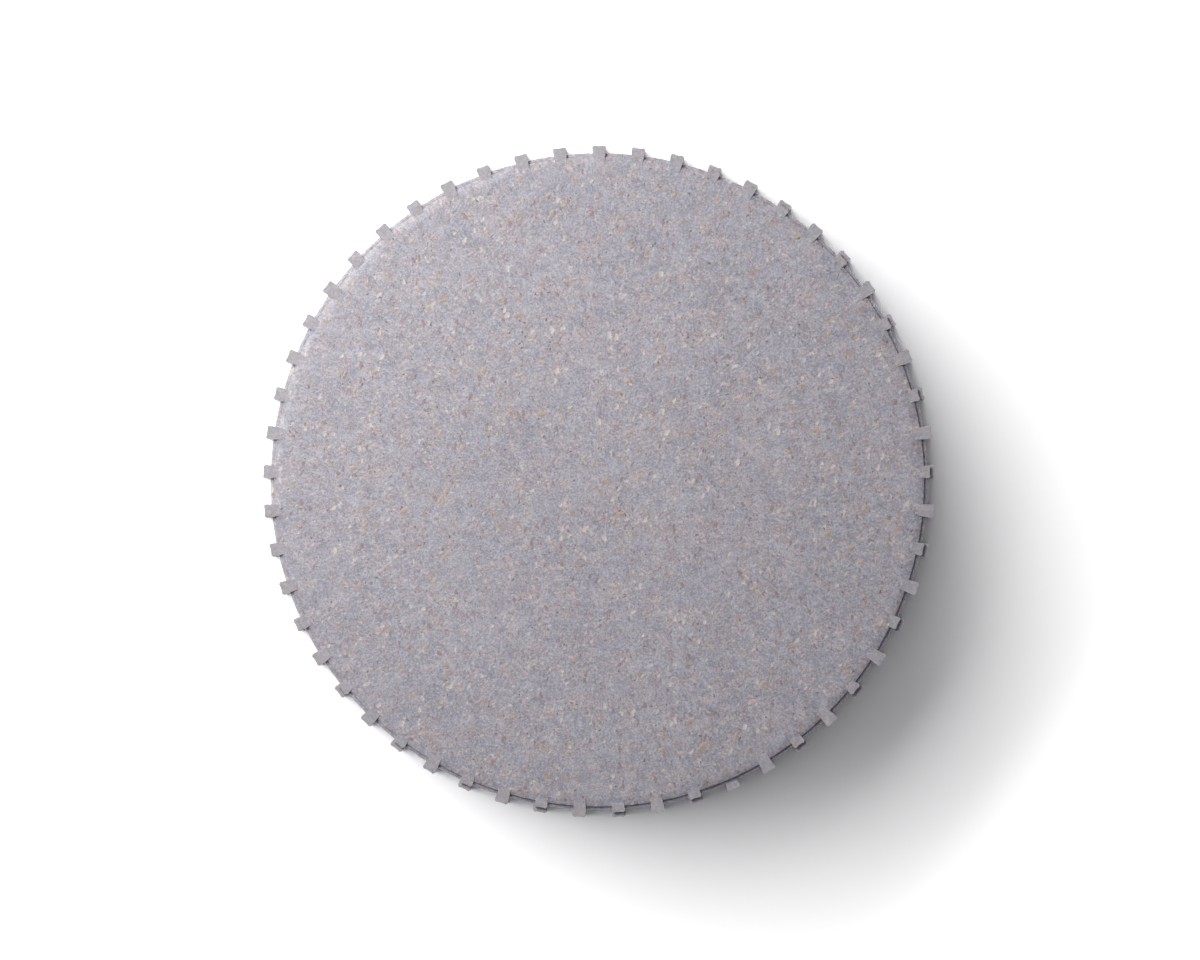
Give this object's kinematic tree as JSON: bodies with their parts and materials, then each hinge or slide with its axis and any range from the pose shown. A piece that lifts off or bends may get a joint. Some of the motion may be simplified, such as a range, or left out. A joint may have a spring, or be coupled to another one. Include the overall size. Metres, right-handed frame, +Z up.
{
  "type": "manhole cover",
  "caption": "Round turn-lock access cover in flake-filled composite with alternating grip lugs, seated on a matching lugged collar.",
  "frame": {"origin": "centre of the collar's base, on the surface that it stands on", "axes": "+Z up along the axis that the cover turns about, +Y through the first lug"},
  "size_m": [0.706, 0.7057, 0.09],
  "materials": {
    "composite": "satin, with plant flakes",
    "seal_rubber": "matt black",
    "zinc_steel": "galvanised",
    "stainless": "bright, rolled",
    "brass": "machined",
    "carrier_plastic": "fine texture",
    "pad_plastic": "smooth"
  },
  "bodies": {
    "base": {"collar": "composite", "base_gasket": "seal_rubber", "anchor_sleeves": "zinc_steel", "keepers": "stainless", "keeper_screws": "stainless", "keeper_inserts": "brass"},
    "seal_ring": {"carrier": "carrier_plastic", "lip_seal": "seal_rubber", "glide_pads": "pad_plastic"},
    "cover": {"deck": "composite", "grit_seal": "seal_rubber", "retainer_ring": "zinc_steel", "tongues": "stainless", "tongue_screws": "stainless", "tongue_washers": "stainless", "m8_inserts": "brass", "ring_screws": "stainless", "m6_inserts": "brass", "tension_plate": "zinc_steel", "plate_screws": "stainless", "stop_pins": "stainless"}
  },
  "joints": [
    {"name": "cover_lift", "type": "slide", "parent": "base", "child": "seal_ring", "axis": [0, 0, 1], "range_m": [0, 0.15]},
    {"name": "cover_turn", "type": "hinge", "parent": "seal_ring", "child": "cover", "pos_m": [0, 0, 0], "axis": [0, 0, 1], "range_deg": [-27.17, 0]}
  ]
}
